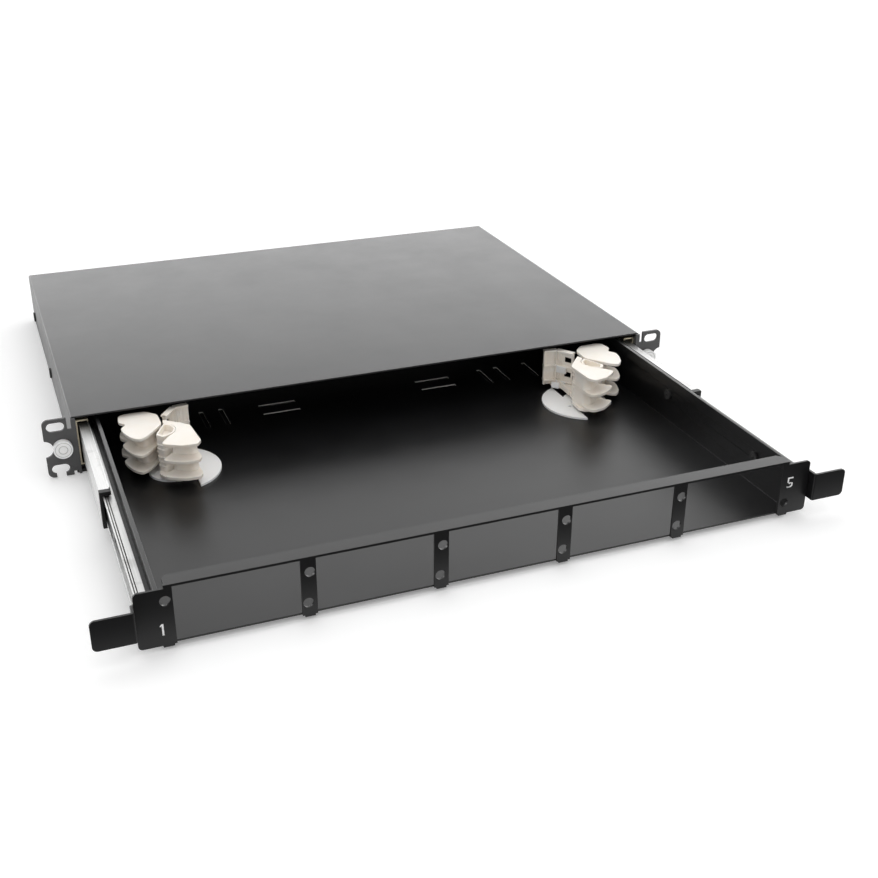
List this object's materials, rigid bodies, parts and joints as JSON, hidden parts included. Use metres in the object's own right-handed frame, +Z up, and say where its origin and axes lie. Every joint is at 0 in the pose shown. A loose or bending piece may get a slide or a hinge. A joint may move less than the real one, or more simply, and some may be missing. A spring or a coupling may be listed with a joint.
{
  "type": "sliding fibre patch drawer",
  "caption": "Rack-mount drawer of sheet steel on ball slides, pulled out of its chassis, with a windowed front and swivelling fibre guides",
  "frame": {"origin": "midway between the rack brackets, on their rear faces, at the underside of the chassis", "axes": "X to the right, Y to the rear of the rack, Z up; the drawer opens along -Y"},
  "size_m": [0.4824, 0.5622, 0.0436],
  "materials": {
    "cover_grey": "satin grey powder coat",
    "bracket_grey": "matte dark grey powder coat",
    "drawer_black": "matte black powder coat",
    "zinc": "zinc plated, rolled",
    "black_steel": "blackened",
    "black_plastic": "moulded",
    "white_plastic": "moulded, bright white",
    "cream_plastic": "moulded, warm white",
    "black_rubber": "moulded"
  },
  "bodies": {
    "chassis": {"top_cover": "cover_grey", "base_plate": "cover_grey", "cable_grommets": "black_rubber", "side_screws": "black_steel", "outer_slide_rivets": "zinc", "rack_bracket_left": "bracket_grey", "rack_bracket_right": "bracket_grey", "bracket_plug_left": "white_plastic", "bracket_plug_right": "white_plastic", "slide_outer_left": "zinc", "slide_outer_right": "zinc"},
    "tray": {"drawer_tray": "drawer_black", "front_frame": "drawer_black", "handle_left": "drawer_black", "handle_right": "drawer_black", "wall_screws": "black_steel", "slide_spacer_left": "black_steel", "slide_spacer_right": "black_steel", "slide_inner_left": "zinc", "slide_inner_right": "zinc", "lever_pin_left": "zinc", "lever_pin_right": "zinc", "guide_base_left": "white_plastic", "guide_base_right": "white_plastic"},
    "middle_left": {"slide_middle_left": "zinc", "slide_bumper_left": "black_plastic"},
    "outer_balls_left": {"ball_cage_outer_left": "zinc"},
    "inner_balls_left": {"ball_cage_inner_left": "zinc"},
    "lever_left": {"release_lever_left": "black_plastic"},
    "hub_left": {"guide_hub_left": "cream_plastic", "guide_pin_left": "cream_plastic"},
    "arm_left": {"guide_arm_left": "cream_plastic"},
    "middle_right": {"slide_middle_right": "zinc", "slide_bumper_right": "black_plastic"},
    "outer_balls_right": {"ball_cage_outer_right": "zinc"},
    "inner_balls_right": {"ball_cage_inner_right": "zinc"},
    "lever_right": {"release_lever_right": "black_plastic"},
    "hub_right": {"guide_hub_right": "cream_plastic", "guide_pin_right": "cream_plastic"},
    "arm_right": {"guide_arm_right": "cream_plastic"}
  },
  "joints": [
    {"name": "drawer_slide", "type": "slide", "parent": "chassis", "child": "tray", "axis": [0, -1, 0], "range_m": [-0.229, 0.071]},
    {"name": "middle_left_slide", "type": "slide", "parent": "chassis", "child": "middle_left", "axis": [0, -1, 0], "range_m": [-0.115, 0.036]},
    {"name": "outer_balls_left_slide", "type": "slide", "parent": "chassis", "child": "outer_balls_left", "axis": [0, -1, 0], "range_m": [-0.05775, 0.01825]},
    {"name": "inner_balls_left_slide", "type": "slide", "parent": "chassis", "child": "inner_balls_left", "axis": [0, -1, 0], "range_m": [-0.17225, 0.05375]},
    {"name": "lever_left_hinge", "type": "hinge", "parent": "tray", "child": "lever_left", "pos_m": [-0.2105, -0.135, 0.02185], "axis": [1, 0, 0], "range_deg": [-6, 6], "stiffness_Nm_per_rad": 0.05},
    {"name": "guide_hub_left_turn", "type": "hinge", "parent": "tray", "child": "hub_left", "pos_m": [-0.16, -0.029, 0.006], "axis": [0, 0, 1], "range_deg": [-15, 15]},
    {"name": "guide_arm_left_swing", "type": "hinge", "parent": "hub_left", "child": "arm_left", "pos_m": [-0.163, -0.017, 0.0238], "axis": [0, 0, 1], "range_deg": [-10, 10]},
    {"name": "middle_right_slide", "type": "slide", "parent": "chassis", "child": "middle_right", "axis": [0, -1, 0], "range_m": [-0.115, 0.036]},
    {"name": "outer_balls_right_slide", "type": "slide", "parent": "chassis", "child": "outer_balls_right", "axis": [0, -1, 0], "range_m": [-0.05775, 0.01825]},
    {"name": "inner_balls_right_slide", "type": "slide", "parent": "chassis", "child": "inner_balls_right", "axis": [0, -1, 0], "range_m": [-0.17225, 0.05375]},
    {"name": "lever_right_hinge", "type": "hinge", "parent": "tray", "child": "lever_right", "pos_m": [0.2105, -0.135, 0.02185], "axis": [1, 0, 0], "range_deg": [-6, 6], "stiffness_Nm_per_rad": 0.05},
    {"name": "guide_hub_right_turn", "type": "hinge", "parent": "tray", "child": "hub_right", "pos_m": [0.16, -0.029, 0.006], "axis": [0, 0, 1], "range_deg": [-15, 15]},
    {"name": "guide_arm_right_swing", "type": "hinge", "parent": "hub_right", "child": "arm_right", "pos_m": [0.163, -0.017, 0.0238], "axis": [0, 0, 1], "range_deg": [-10, 10]}
  ],
  "couplings": [
    {"joint": "middle_left_slide", "follows": "drawer_slide", "ratio": 0.5},
    {"joint": "outer_balls_left_slide", "follows": "drawer_slide", "ratio": 0.25},
    {"joint": "inner_balls_left_slide", "follows": "drawer_slide", "ratio": 0.75},
    {"joint": "middle_right_slide", "follows": "drawer_slide", "ratio": 0.5},
    {"joint": "outer_balls_right_slide", "follows": "drawer_slide", "ratio": 0.25},
    {"joint": "inner_balls_right_slide", "follows": "drawer_slide", "ratio": 0.75}
  ]
}
